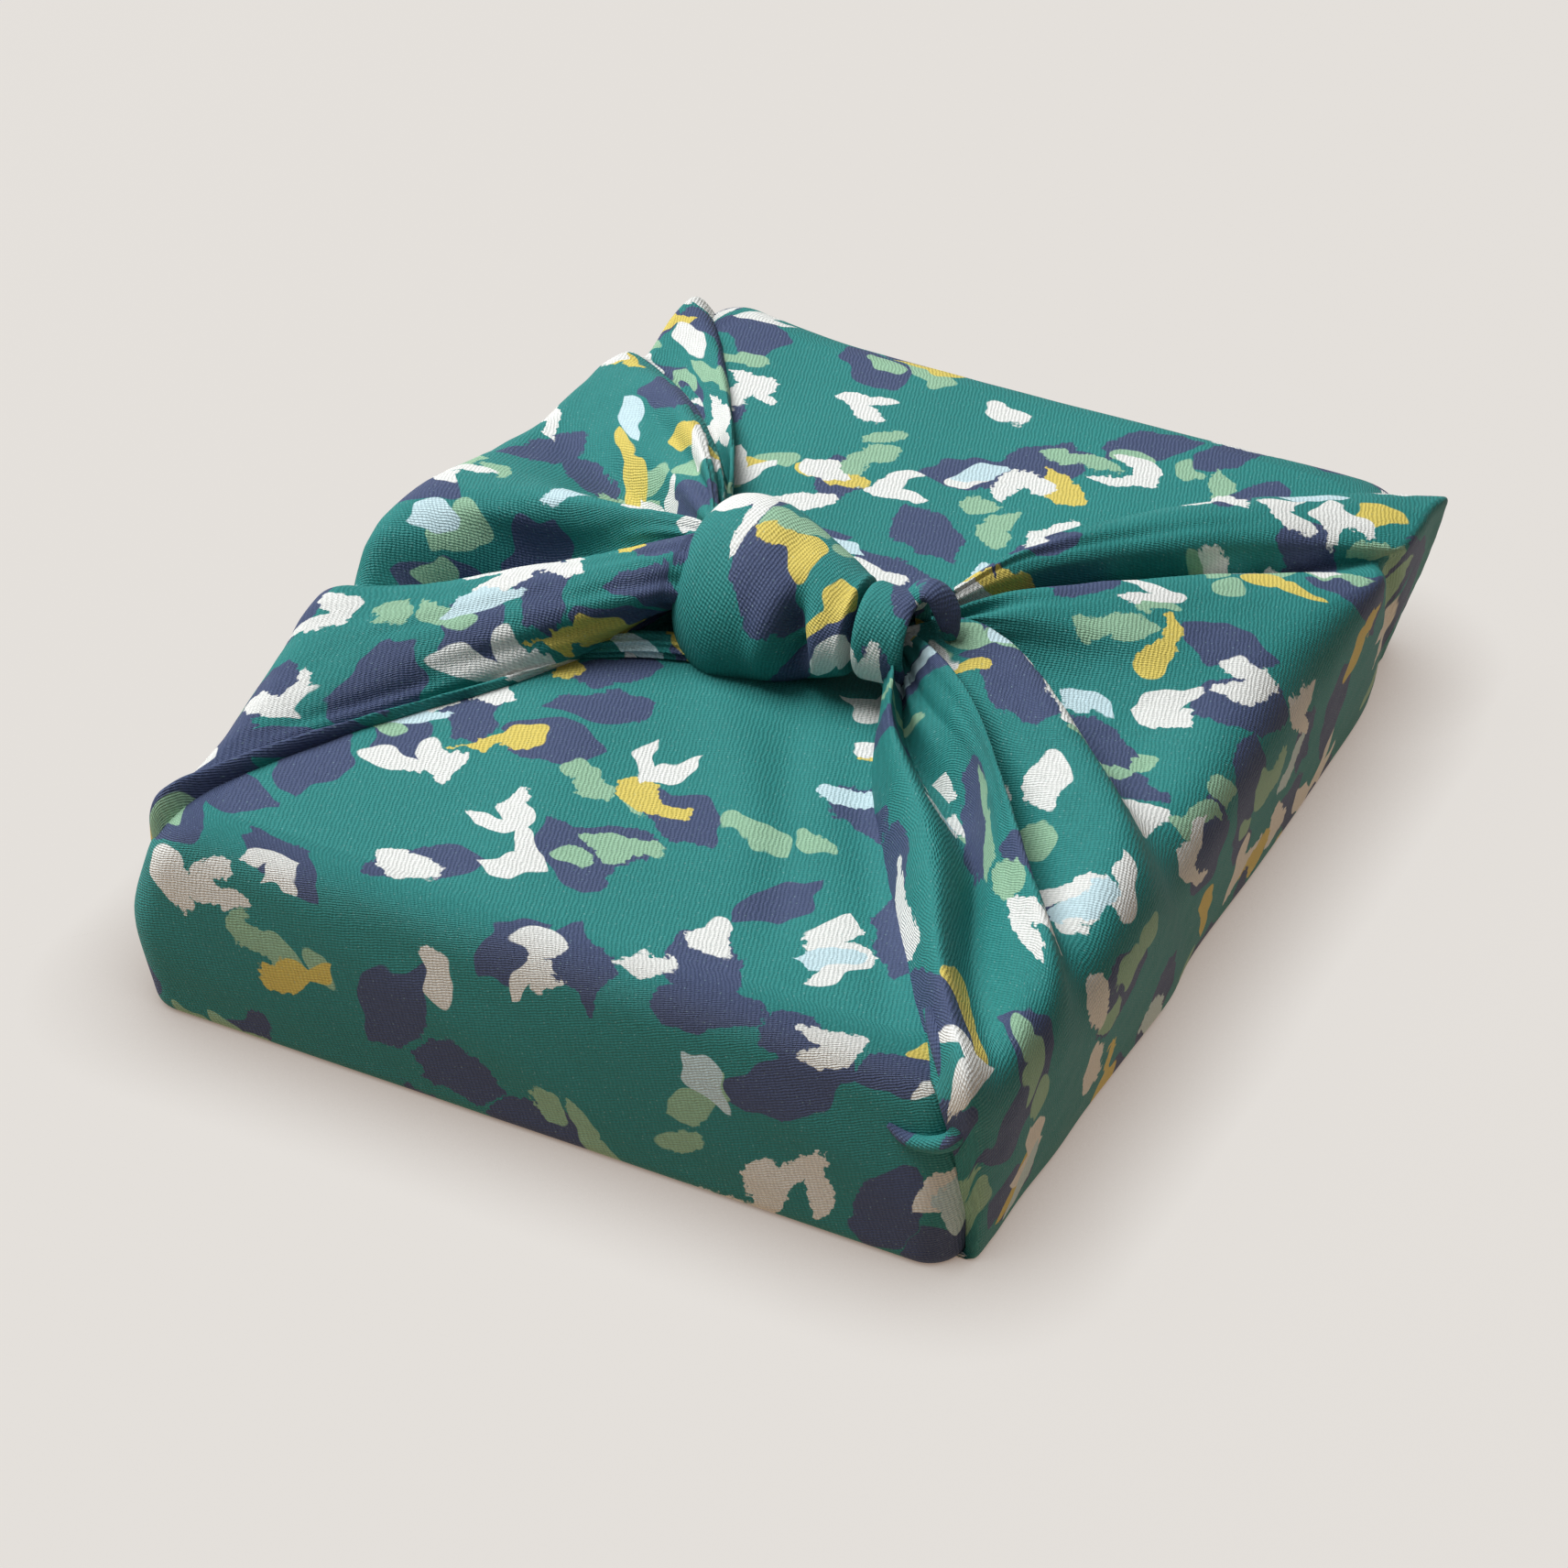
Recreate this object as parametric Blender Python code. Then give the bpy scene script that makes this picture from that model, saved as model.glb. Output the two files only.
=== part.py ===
"""Furoshiki wrap: one square cloth folded around a flat box and tied on top with its side corners.

Metres, +Z up, origin at the middle of the underside. X runs along the tie, from the left bundle
to the right one; -Y is the long side that the smooth front flap climbs. The whole wrap is one
filled solid with the true folded shape: the wrapped body, the two gathered bundles, the knot
and the two tucked ends, joined into one closed body with a flat underside.
"""
import math

import bmesh
import bpy
import numpy as np

MM = 0.001
CENTRE_SHIFT = (-1.3, -3.3, 0.0)   # brings the middle of the finished outline to the origin, mm

# Driving sizes, in millimetres
WIDTH = 260.0           # across the tie, side to side
DEPTH = 352.0           # along the smooth flaps
HEIGHT = 62.0           # table to the top of the wrapped box
FRONT_FLARE = 7.0       # how much further the front flap reaches at the table than at the top
BACK_PULL = 16.0        # how far the back left corner is drawn outwards
CORNER_BULGE = 5.0      # how far the front left corner stands out halfway up
CROWN = 1.6             # rise of the cloth in the middle of the top
EDGE_ROUND = 15.0       # reach of the soft bend where a fold passes over the box edge
SIDE_BELLY = 1.5        # outward belly of the gathered sides
MOUTH_LEFT = -38.0      # x where the left bundle is gripped inside the knot
MOUTH_RIGHT = 34.0      # x where the right bundle is gripped inside the collar

# Sides of the wrapped body, from the table up: height, inset from the full plan, corner radius
BODY_LEVELS = (
    (0.0, 2.6, 9.0), (1.8, 0.7, 10.0), (7.0, -0.2, 11.0), (19.0, -1.4, 12.0), (33.0, -1.6, 12.0),
    (45.0, -0.6, 12.0), (53.0, 0.8, 12.0), (58.0, 3.4, 12.0), (61.0, 8.0, 13.0), (62.0, 14.0, 14.0),
)

# Fold lines of the left bundle, from the back corner to the front corner.
# mouth_y, mouth_z: where the line leaves the knot; bow, bow_at: its sideways bend in plan and how
# far along that bend lies; lift: its rise between the knot and the edge; edge_x, edge_y, edge_z:
# where it turns over the box edge; foot_x, foot_y: where it reaches the table
FOLD_COLUMNS = ("mouth_y", "mouth_z", "bow", "bow_at", "lift",
                "edge_x", "edge_y", "edge_z", "foot_x", "foot_y")
LEFT_FOLDS = {
    "back seam":      (6, 50, 10, 0.36, 0, -124, 180, 50, -122, 172),
    "corner facet":   (5, 81, 17, 0.45, -5, -133, 172, 66, -131, 170),
    "roll back edge": (5, 85, 24, 0.42, -8, -132, 130, 64, -133, 136),
    "roll shoulder":  (5, 92, 20, 0.43, -1, -134, 121, 69, -134, 124),
    "roll crest":     (3, 97, 18, 0.48, 1, -135, 106, 72, -135, 106),
    "roll foot":      (1, 93, 9, 0.45, -2, -137, 86, 70, -135, 84),
    "trough":         (-1, 87, 9, 0.42, -4, -139, 64, 70, -136, 56),
    "middle crest":   (-3, 93, 7, 0.40, 0, -142, -8, 82, -137, -6),
    "middle lip":     (-5, 89, 6, 0.40, -2, -142, -34, 80, -137, -28),
    "hollow":         (-7, 86, 8, 0.30, -12, -138, -48, 70, -136, -44),
    "low roll lip":   (-9, 92, 7, 0.20, -7, -138, -69, 79, -136, -62),
    "low roll crest": (-21, 93, 5, 0.36, -1, -137, -94, 73, -135, -84),
    "low roll belly": (-34, 82, 8, 0.60, 1, -134, -124, 67, -134, -112),
    "second crease":  (-41, 69, 13, 0.66, -1, -131, -158, 64, -132, -144),
    "second fold":    (-44, 68, 13, 0.66, 3, -132, -169, 68, -133, -162),
    "front seam":     (-46, 50, 15, 0.62, 0, -121, -171, 48, -124, -166),
}
# Fold lines of the right bundle, in the same columns, from the back corner to the front corner
RIGHT_FOLDS = {
    "back seam":      (10, 50, 40, 0.38, 0, 125, 168, 50, 120, 166),
    "top roll edge":  (7, 84, 36, 0.38, -3, 146, 166, 68, 126, 171),
    "top roll crest": (3, 89, 29, 0.40, 0, 147, 152, 72, 128, 168),
    "top roll lip":   (0, 87, 19, 0.45, -1, 144, 126, 71, 130, 163),
    "top crease":     (-3, 81, 15, 0.45, -7, 138, 112, 66, 131, 157),
    "broad crest":    (-6, 85, 8, 0.45, -1, 143, 94, 74, 135, 140),
    "broad belly":    (-9, 84, 9, 0.40, -1, 142, 50, 72, 136, 88),
    "broad foot":     (-12, 81, 18, 0.38, -8, 141, -8, 70, 136, 36),
    "deep pocket":    (-15.5, 79, 28, 0.37, -6, 139, -64, 67, 135, -18),
    "arch crest":     (-17, 86, 28, 0.33, 0, 143, -84, 75, 137, -38),
    "arch slope":     (-18.5, 85, 16, 0.36, -2, 142, -104, 73, 136, -72),
    "inner crease":   (-20, 80, 10, 0.40, -8, 138, -125, 69, 135, -102),
    "strand crest":   (-22, 86, 15, 0.36, 1, 141, -141, 75, 136, -124),
    "strand slope":   (-25, 81, 9, 0.40, -2, 139, -153, 71, 135, -146),
    "corner crease":  (-28, 75, 6, 0.40, -3, 135, -162, 66, 131, -166),
    "narrow roll":    (-33, 77, 7, 0.45, 0, 137, -187, 73, 126, -169),
    "front seam":     (-33, 50, 2, 0.40, 0, 124, -172, 48, 118, -164),
}

# Cross-sections of the knot along the tie: x, centre y and z, long and short half axes, lean
KNOT_SECTIONS = (
    (-39.5, -9, 81, 8, 6, 40), (-38, -9, 81, 17, 12, 40), (-33, -10, 81, 25, 18, 40),
    (-26, -11, 81, 28.5, 21, 42), (-16, -12, 81, 30, 22, 42), (-6, -13, 80.5, 29, 21, 42),
    (4, -15, 80, 26, 19, 42), (14, -17, 79.5, 22, 16.5, 42), (24, -19, 79, 18.5, 14.5, 42),
    (32, -20, 78.5, 15, 11.5, 42), (36, -20, 78, 8, 6, 42),
)
KNOT_TUCK = {"x": 9.0, "angle": -100.0, "width": 6.0, "spread": 48.0, "depth": 5.0}

# The strap around the right end of the knot: x and the two half axes; it stands slanted in x
COLLAR_SECTIONS = ((27, 9, 7), (28, 18.8, 15.4), (33, 18.8, 15.6), (38, 17.0, 14.0),
                   (41.5, 14.5, 12.5), (43, 7, 6))
COLLAR_CENTRE = (-19.0, 79.0)
COLLAR_LEAN = 42.0
COLLAR_SLANT = -3.0

# The two tucked ends: centre line x, y, z and the half width and half thickness there
TAIL_TIP = ((24, -8, 80, 3, 3), (28, -1, 85, 6, 4.5), (34, 5, 86, 6, 4.5), (40, 6, 82, 5, 4),
            (46, 2, 74, 7, 6))
TUCKED_END = ((-64, -57, 61, 3, 2), (-55, -49, 64, 6, 4.5), (-44, -41, 65, 7, 5),
              (-30, -35, 66, 7, 5), (-16, -31, 65, 6, 5), (-8, -28, 64, 3, 3))

# How finely each shape is drawn
LINE_STEPS = 3
TOP_STEPS = 9
BEND_STEPS = 4
SIDE_STEPS = 4
KNOT_RING = 28
TAIL_RING = 10


def smooth_curve(points, steps):
    """Points on a soft curve through the given rows, with `steps` pieces in each gap."""
    pts = np.array(points, dtype=float)
    ends = np.vstack([2 * pts[0] - pts[1], pts, 2 * pts[-1] - pts[-2]])
    out = []
    for i in range(1, len(ends) - 2):
        p = ends[i - 1:i + 3]
        t = [0.0]
        for a, b in zip(p[:-1], p[1:]):
            t.append(t[-1] + max(np.linalg.norm(b[:3] - a[:3]), 1e-6) ** 0.5)
        for u in np.linspace(t[1], t[2], steps, endpoint=False):
            a1, a2, a3 = (((t[k + 1] - u) * p[k] + (u - t[k]) * p[k + 1]) / (t[k + 1] - t[k])
                          for k in range(3))
            b1 = ((t[2] - u) * a1 + (u - t[0]) * a2) / (t[2] - t[0])
            b2 = ((t[3] - u) * a2 + (u - t[1]) * a3) / (t[3] - t[1])
            out.append(((t[2] - u) * b1 + (u - t[1]) * b2) / (t[2] - t[1]))
    out.append(pts[-1])
    return np.array(out)


def fold_line(row, mouth_x):
    """One fold line, from inside the knot over the box edge and down to the table."""
    f = dict(zip(FOLD_COLUMNS, row))
    side = math.copysign(1.0, mouth_x)
    mouth = np.array([mouth_x, f["mouth_y"], f["mouth_z"]], dtype=float)
    edge = np.array([f["edge_x"], f["edge_y"], f["edge_z"]], dtype=float)
    foot = np.array([f["foot_x"], f["foot_y"], 3.0])
    power = math.log(0.5) / math.log(f["bow_at"])

    def over_top(s):
        swell = 4 * s ** power * (1 - s ** power)
        return mouth + (edge - mouth) * s + np.array([0, f["bow"] * swell, f["lift"] * 4 * s * (1 - s)])

    def down_side(s):
        return edge + (foot - edge) * s + np.array([side * SIDE_BELLY * 4 * s * (1 - s), 0, 0])

    leave = 1 - EDGE_ROUND / np.linalg.norm(edge - mouth)
    land = EDGE_ROUND / np.linalg.norm(foot - edge)
    before, after = over_top(leave), down_side(land)
    line = [over_top(s) for s in np.linspace(0, leave, TOP_STEPS + 1)]
    for s in np.linspace(0, 1, BEND_STEPS + 1)[1:-1]:
        line.append((1 - s) ** 2 * before + 2 * s * (1 - s) * edge + s ** 2 * after)
    line += [down_side(s) for s in np.linspace(land, 1, SIDE_STEPS + 1)]
    line.append(foot - np.array([side * 3.5, 0, 7.0]))
    return np.array(line)


def bundle_surface(folds, mouth_x):
    """The gathered cloth of one side: a grid across all its fold lines."""
    lines = np.array([fold_line(row, mouth_x) for row in folds.values()])
    return np.stack([smooth_curve(lines[:, k], LINE_STEPS) for k in range(lines.shape[1])], axis=1)


def add_solid(name, rings, collection):
    """A closed mesh through rings of points, each end closed to its middle."""
    bm = bmesh.new()
    rows = [[bm.verts.new(p * MM) for p in ring] for ring in rings]
    count = len(rows[0])
    for a, b in zip(rows[:-1], rows[1:]):
        for k in range(count):
            n = (k + 1) % count
            bm.faces.new((a[k], a[n], b[n], b[k]))
    for row in (rows[0], rows[-1]):
        middle = bm.verts.new(np.mean([v.co for v in row], axis=0))
        for k in range(count):
            bm.faces.new((row[k], row[(k + 1) % count], middle))
    return finish_mesh(name, bm, collection)


def finish_mesh(name, bm, collection):
    """Turn the faces outwards, triangulate and put the mesh in its collection."""
    bmesh.ops.recalc_face_normals(bm, faces=bm.faces[:])
    bmesh.ops.triangulate(bm, faces=bm.faces[:])
    mesh = bpy.data.meshes.new(name)
    bm.to_mesh(mesh)
    bm.free()
    obj = bpy.data.objects.new(name, mesh)
    collection.objects.link(obj)
    return obj


def body_outline(z, inset, radius):
    """One level of the wrapped box: a rounded rectangle whose front side flares to the table."""
    right, back = WIDTH / 2 - inset, DEPTH / 2 - inset
    front = back + FRONT_FLARE * (1 - z / HEIGHT)
    arcs = []
    for x, y, start in ((right, -front, 270), (right, back, 0), (-right, back, 90), (-right, -front, 180)):
        cx, cy = x - math.copysign(radius, x), y - math.copysign(radius, y)
        arcs.append([np.array([cx + radius * math.cos(a), cy + radius * math.sin(a), z])
                     for a in np.radians(np.linspace(start, start + 90, 6))])
    ring = []
    for arc, following in zip(arcs, arcs[1:] + arcs[:1]):
        ring += arc
        ring += [(1 - s) * arc[-1] + s * following[0] for s in np.linspace(0, 1, 10)[1:-1]]
    ring = np.array(ring)
    to_left = (0.5 - ring[:, 0] / WIDTH).clip(0, 1)
    to_back = (ring[:, 1] / DEPTH + 0.5).clip(0, 1)
    ring[:, 1] += BACK_PULL * to_left ** 6 * to_back ** 4
    ring[:, 0] -= CORNER_BULGE * to_left ** 4 * (1 - to_back) ** 4 * math.sin(math.pi * z / HEIGHT)
    return ring


def body_rings():
    """The wrapped body, ring by ring from the underside to the middle of the top."""
    rings = [body_outline(*level) for level in BODY_LEVELS]
    top = rings[-1]
    centre = top.mean(axis=0)
    for scale in (0.9, 0.72, 0.5, 0.26, 0.06):
        ring = centre + (top - centre) * scale
        ring[:, 2] = HEIGHT + CROWN * (1 - scale ** 2)
        rings.append(ring)
    return rings


def knot_ring(section, count, tuck=None, slant=0.0):
    """One slanted oval cross-section of the knot."""
    x, cy, cz, long, short, lean = section
    t = math.radians(lean)
    ring = []
    for a in np.linspace(0, 2 * math.pi, count, endpoint=False):
        u, v = long * math.cos(a), short * math.sin(a)
        if tuck:
            near = math.exp(-((x - tuck["x"]) / tuck["width"]) ** 2)
            turn = (math.degrees(a) - tuck["angle"] + 180) % 360 - 180
            pull = 1 - tuck["depth"] / long * near * math.exp(-(turn / tuck["spread"]) ** 2)
            u, v = u * pull, v * pull
        y, z = u * math.cos(t) - v * math.sin(t), u * math.sin(t) + v * math.cos(t)
        ring.append((x + slant * u / long, cy + y, cz + z))
    return np.array(ring)


def swept_rings(rows, count):
    """Rings around a curved strip, with its half width across and its half thickness upright."""
    path = smooth_curve(rows, 3)
    rings = []
    for k, (x, y, z, wide, thick) in enumerate(path):
        along = path[min(k + 1, len(path) - 1), :3] - path[max(k - 1, 0), :3]
        along /= np.linalg.norm(along)
        across = np.cross((0, 0, 1), along)
        across /= np.linalg.norm(across)
        upright = np.cross(along, across)
        rings.append(np.array([np.array([x, y, z]) + wide * math.cos(a) * across
                               + thick * math.sin(a) * upright
                               for a in np.linspace(0, 2 * math.pi, count, endpoint=False)]))
    return rings


def add_bundle(name, folds, mouth_x, heart, collection):
    """One gathered bundle, closed to a point in the heart of the wrapped box."""
    grid = bundle_surface(folds, mouth_x)
    across, along = grid.shape[:2]
    bm = bmesh.new()
    verts = [[bm.verts.new(p * MM) for p in row] for row in grid]
    for i in range(across - 1):
        for j in range(along - 1):
            bm.faces.new((verts[i][j], verts[i + 1][j], verts[i + 1][j + 1], verts[i][j + 1]))
    mouth = [row[0] for row in verts]
    rim = verts[0] + [row[-1] for row in verts[1:]] + verts[-1][-2::-1]
    plug = bm.verts.new(np.array([mouth_x, (folds["back seam"][0] + folds["front seam"][0]) / 2,
                                  folds["back seam"][1] + 2.0]) * MM)
    middle = bm.verts.new(np.array(heart) * MM)
    for loop, tip in ((mouth, plug), (rim, middle)):
        for a, b in zip(loop, loop[1:]):
            bm.faces.new((a, b, tip))
    bm.faces.new((mouth[0], mouth[-1], plug))
    bm.faces.new((mouth[-1], mouth[0], middle))
    return finish_mesh(name, bm, collection)


def cloth_material():
    material = bpy.data.materials.new("printed_cotton_twill")
    material.use_nodes = True
    surface = material.node_tree.nodes["Principled BSDF"]
    surface.inputs["Base Color"].default_value = (0.026, 0.205, 0.165, 1.0)
    surface.inputs["Roughness"].default_value = 0.78
    surface.inputs["Metallic"].default_value = 0.0
    return material


def main():
    for obj in list(bpy.data.objects):
        bpy.data.objects.remove(obj, do_unlink=True)
    wrap = bpy.data.collections.new("furoshiki_wrap")
    cutters = bpy.data.collections.new("wrap_cutters")
    bpy.context.scene.collection.children.link(wrap)
    bpy.context.scene.collection.children.link(cutters)

    # The wrapped body, then everything that is gathered and tied on it
    body = add_solid("furoshiki_wrap", body_rings(), wrap)
    collar = [knot_ring((x, *COLLAR_CENTRE, long, short, COLLAR_LEAN), KNOT_RING, slant=COLLAR_SLANT)
              for x, long, short in COLLAR_SECTIONS]
    joined = [
        add_bundle("left_bundle", LEFT_FOLDS, MOUTH_LEFT, (-62, -4, 18), cutters),
        add_bundle("right_bundle", RIGHT_FOLDS, MOUTH_RIGHT, (62, -4, 18), cutters),
        add_solid("knot", [knot_ring(s, KNOT_RING, KNOT_TUCK) for s in KNOT_SECTIONS], cutters),
        add_solid("collar", collar, cutters),
        add_solid("tail_tip", swept_rings(TAIL_TIP, TAIL_RING), cutters),
        add_solid("tucked_end", swept_rings(TUCKED_END, TAIL_RING), cutters),
    ]
    for piece in joined:
        modifier = body.modifiers.new("join " + piece.name, "BOOLEAN")
        modifier.operation, modifier.solver, modifier.object = "UNION", "EXACT", piece
        modifier.use_self = True

    # The table plane cuts the underside flat
    bpy.ops.mesh.primitive_cube_add(size=1.0, location=(0, 0, -20 * MM))
    table = bpy.context.active_object
    table.name = "table_plane"
    table.scale = (2 * WIDTH * MM, 2 * DEPTH * MM, 40 * MM)
    for holder in list(table.users_collection):
        holder.objects.unlink(table)
    cutters.objects.link(table)
    modifier = body.modifiers.new("flat underside", "BOOLEAN")
    modifier.operation, modifier.solver, modifier.object = "DIFFERENCE", "EXACT", table
    for piece in cutters.objects:
        piece.hide_render = True
        piece.display_type = "WIRE"

    for piece in [body, *cutters.objects]:
        piece.location = [c + shift * MM for c, shift in zip(piece.location, CENTRE_SHIFT)]
    body.data.materials.append(cloth_material())
    body.data.shade_smooth()


main()
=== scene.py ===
"""Furoshiki wrap: a square printed cloth folded round a flat box and tied on top.

Each operator makes pieces of the cloth as thin sheets that lie on the fold lines of the wrap, and
the last one sets the stage. Sizes are in millimetres until a mesh is made.
"""

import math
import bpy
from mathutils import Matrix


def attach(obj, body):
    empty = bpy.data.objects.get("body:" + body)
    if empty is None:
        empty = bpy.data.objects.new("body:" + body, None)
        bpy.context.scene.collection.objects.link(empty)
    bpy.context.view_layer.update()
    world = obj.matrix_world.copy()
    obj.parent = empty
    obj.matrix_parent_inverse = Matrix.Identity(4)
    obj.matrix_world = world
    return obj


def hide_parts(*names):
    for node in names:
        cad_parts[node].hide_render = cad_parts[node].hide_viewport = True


bl_info = {
    "name": "Furoshiki wrap",
    "version": (1, 0, 0),
    "blender": (4, 5, 0),
    "location": "View3D > Sidebar > Wrap",
    "description": "Makes a printed cloth wrapped and tied around a flat box",
    "category": "Add Mesh",
}

import bpy
import numpy as np
from mathutils import Matrix

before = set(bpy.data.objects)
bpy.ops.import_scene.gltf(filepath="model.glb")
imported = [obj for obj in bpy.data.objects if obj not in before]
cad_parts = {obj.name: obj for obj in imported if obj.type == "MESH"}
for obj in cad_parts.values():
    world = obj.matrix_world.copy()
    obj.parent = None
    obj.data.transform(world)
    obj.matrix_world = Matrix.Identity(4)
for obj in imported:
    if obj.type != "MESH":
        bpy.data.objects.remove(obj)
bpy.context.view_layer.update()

MM = 0.001
NODE = "furoshiki_wrap"
CLOTH_UV = "cloth"
FLAPS = "smooth_flaps"
CENTRE_SHIFT = (-1.3, -3.3, 0.0)    # brings the cloth on to the middle of the model
HEART = (0.0, 0.0, 0.03)            # the heart of the wrap, in metres

# Driving sizes, in millimetres
WIDTH = 260.0           # across the tie, side to side
DEPTH = 352.0           # along the smooth flaps
HEIGHT = 62.0           # table to the top of the wrapped box
FRONT_FLARE = 7.0       # how much further the front flap reaches at the table than at the top
BACK_PULL = 16.0        # how far the back left corner is drawn outwards
CORNER_BULGE = 5.0      # how far the front left corner stands out halfway up
CROWN = 1.6             # rise of the cloth in the middle of the top
SIDE_BELLY = 1.5        # outward belly of the gathered sides
UNDER_GAP = 0.4         # height of the cloth that lies under the box
MOUTH_LEFT = -38.0      # x where the left bundle is gripped inside the knot
MOUTH_RIGHT = 34.0      # x where the right bundle is gripped inside the collar

# Points along a fold line: inside the knot, over the top, round the bend and down the side
GRIP_STEPS, TOP_STEPS, BEND_STEPS, SIDE_STEPS = 4, 64, 14, 26
RUN_MARKS = (0, 1, 1.2, 2)      # how far along the run each of these stretches begins or ends
ACROSS_STEPS = 13               # points from one fold line to the next
# Inside the knot the fold lines draw together: how far in, towards which y and z, and by how much
GRIP_DEPTH = 20.0
GRIP_HEART = (-12.0, 76.0)
GRIP_DRAW = (0.55, 0.5)
PINCH_REACH = 0.085             # how far along the run the strap pinches the right bundle
# At the table: the height of a fold line's foot, then how far in and how high it runs under
FOOT_HEIGHT = 3.0
TUCK_UNDER = ((0.7, 1.6), (2.2, 0.7), (7.0, 0.5), (14.0, 0.5))

# Small unevenness of the bundles: how softly a crease begins and ends along the top run, how far
# from the knot the fine gathers reach, their heights and pitches, the height and length of two
# soft waves, and the height over the table from which all this fades in
CREASE_BEGIN, CREASE_END = 0.12, 0.25
GATHER_REACH = 26.0
GATHERS = ((0.55, 9.0, 1), (0.3, 17.0, 2))
BROAD_WAVE, FINE_WAVE = (0.45, 46.0), (0.16, 13.0)
CALM_HEIGHT, CALM_FADE = 4.0, 8.0

# Sides of the wrapped body, from the table up: height, inset from the full plan, corner radius
BODY_LEVELS = (
    (0.0, 2.6, 9.0), (1.8, 0.7, 10.0), (7.0, -0.2, 11.0), (19.0, -1.4, 12.0), (33.0, -1.6, 12.0),
    (45.0, -0.6, 12.0), (53.0, 0.8, 12.0), (58.0, 3.4, 12.0), (61.0, 8.0, 13.0), (62.0, 14.0, 14.0),
)
LEVEL_STEPS = 5                 # rings from one of these levels to the next
UNDER_SCALES = (0.04, 0.3, 0.6, 0.85, 0.97)     # rings below the box, as shares of its foot
TOP_SCALES = ((0.985, 0.5, 40), (0.47, 0.03, 16))   # rings on top, as shares of its rim
GIRTH_RING = 12                 # the ring, from the table up, that the sides are measured on
EDGE_BLEND = 22.0               # how far below the rim the top's cloth coordinates reach

# Fold lines of the left bundle, from the back corner to the front corner.
# mouth_y, mouth_z: where the line leaves the knot; bow, bow_at: its sideways bend in plan and how
# far along that bend lies; lift: its rise between the knot and the edge; edge_x, edge_y, edge_z:
# where it turns over the box edge; foot_x, foot_y: where it reaches the table; bend: the reach of
# its soft bend over the edge
FOLD_COLUMNS = ("mouth_y", "mouth_z", "bow", "bow_at", "lift",
                "edge_x", "edge_y", "edge_z", "foot_x", "foot_y", "bend")
LEFT_FOLDS = {
    "back seam":      (6, 50, 10, 0.36, 0, -124, 180, 50, -122, 172, 6),
    "corner facet":   (5, 81, 17, 0.45, -5, -133, 172, 66, -131, 170, 5),
    "roll back edge": (5, 85, 24, 0.42, -9, -132, 130, 64, -133, 136, 8),
    "roll shoulder":  (5, 88, 20, 0.43, -1, -134, 121, 69, -134, 124, 8),
    "roll crest":     (3, 91, 18, 0.48, 3, -135, 106, 72, -135, 106, 10),
    "roll foot":      (1, 89, 9, 0.45, -2, -137, 86, 70, -135, 84, 10),
    "trough":         (-1, 85, 9, 0.42, -5, -139, 64, 69, -136, 56, 10),
    "middle crest":   (-3, 93, 7, 0.40, 0, -142, -8, 82, -137, -6, 12),
    "middle lip":     (-5, 89, 6, 0.40, -3, -142, -34, 79, -137, -28, 10),
    "hollow":         (-7, 84, 8, 0.30, -17, -138, -50, 68, -136, -44, 8),
    "low roll lip":   (-9, 92, 7, 0.20, -7, -138, -69, 79, -136, -62, 10),
    "low roll crest": (-20, 93, 5, 0.36, -1, -137, -94, 73, -135, -84, 12),
    "low roll belly": (-31, 83, 8, 0.60, 1, -134, -124, 67, -134, -112, 12),
    "second crease":  (-25, 70, 9, 0.66, -2, -131, -157, 63.5, -132, -146, 8),
    "second fold":    (-24, 64, 9, 0.66, 1, -132, -168, 66, -133, -162, 8),
    "front seam":     (-28, 56, 12, 0.63, 0, -127, -173, 55, -126, -167, 8),
}
# Fold lines of the right bundle, in the same columns, from the back corner to the front corner
RIGHT_FOLDS = {
    "back seam":      (10, 50, 40, 0.38, 0, 124, 166, 50, 120, 164, 4),
    "top roll edge":  (7, 84, 36, 0.38, -3, 144.5, 164, 65, 128, 169, 2.5),
    "top roll crest": (3, 89, 29, 0.40, 0, 145.5, 149, 69.5, 129, 167, 4),
    "top roll lip":   (0, 87, 19, 0.45, -1, 145, 122, 69, 131, 158, 4),
    "top crease":     (-3, 80, 17, 0.45, -8, 139, 118, 65, 131, 154, 4),
    "broad crest":    (-5, 85, 15, 0.45, -2, 145, 104, 68, 136, 128, 5),
    "broad belly":    (-9, 84, 9, 0.40, -1, 143, 50, 69, 137, 86, 22),
    "broad foot":     (-12, 80, 18, 0.38, -9, 143, -8, 68, 137, 30, 26),
    "deep pocket":    (-15.5, 77, 28, 0.37, -7, 142, -64, 66, 136, -24, 28),
    "arch crest":     (-17, 86, 28, 0.33, 0, 145, -84, 74, 138, -44, 28),
    "arch slope":     (-18.5, 85, 16, 0.36, -2, 145, -104, 71, 137, -76, 28),
    "inner crease":   (-20, 78, 10, 0.40, -9, 141, -126, 68, 136, -104, 28),
    "strand crest":   (-22, 86, 15, 0.36, 1, 143, -141, 73, 136, -124, 26),
    "strand slope":   (-25, 81, 9, 0.40, -2, 141, -153, 69, 135, -146, 22),
    "corner crease":  (-30, 73, -3, 0.45, -6, 139, -172, 66, 135, -166, 18),
    "narrow roll":    (-34, 80, -6, 0.45, 3, 134, -184, 70.5, 134, -174, 16),
    "front seam":     (-40, 58, -9, 0.45, -1, 125, -182, 58, 130, -172, 8),
}

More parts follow.
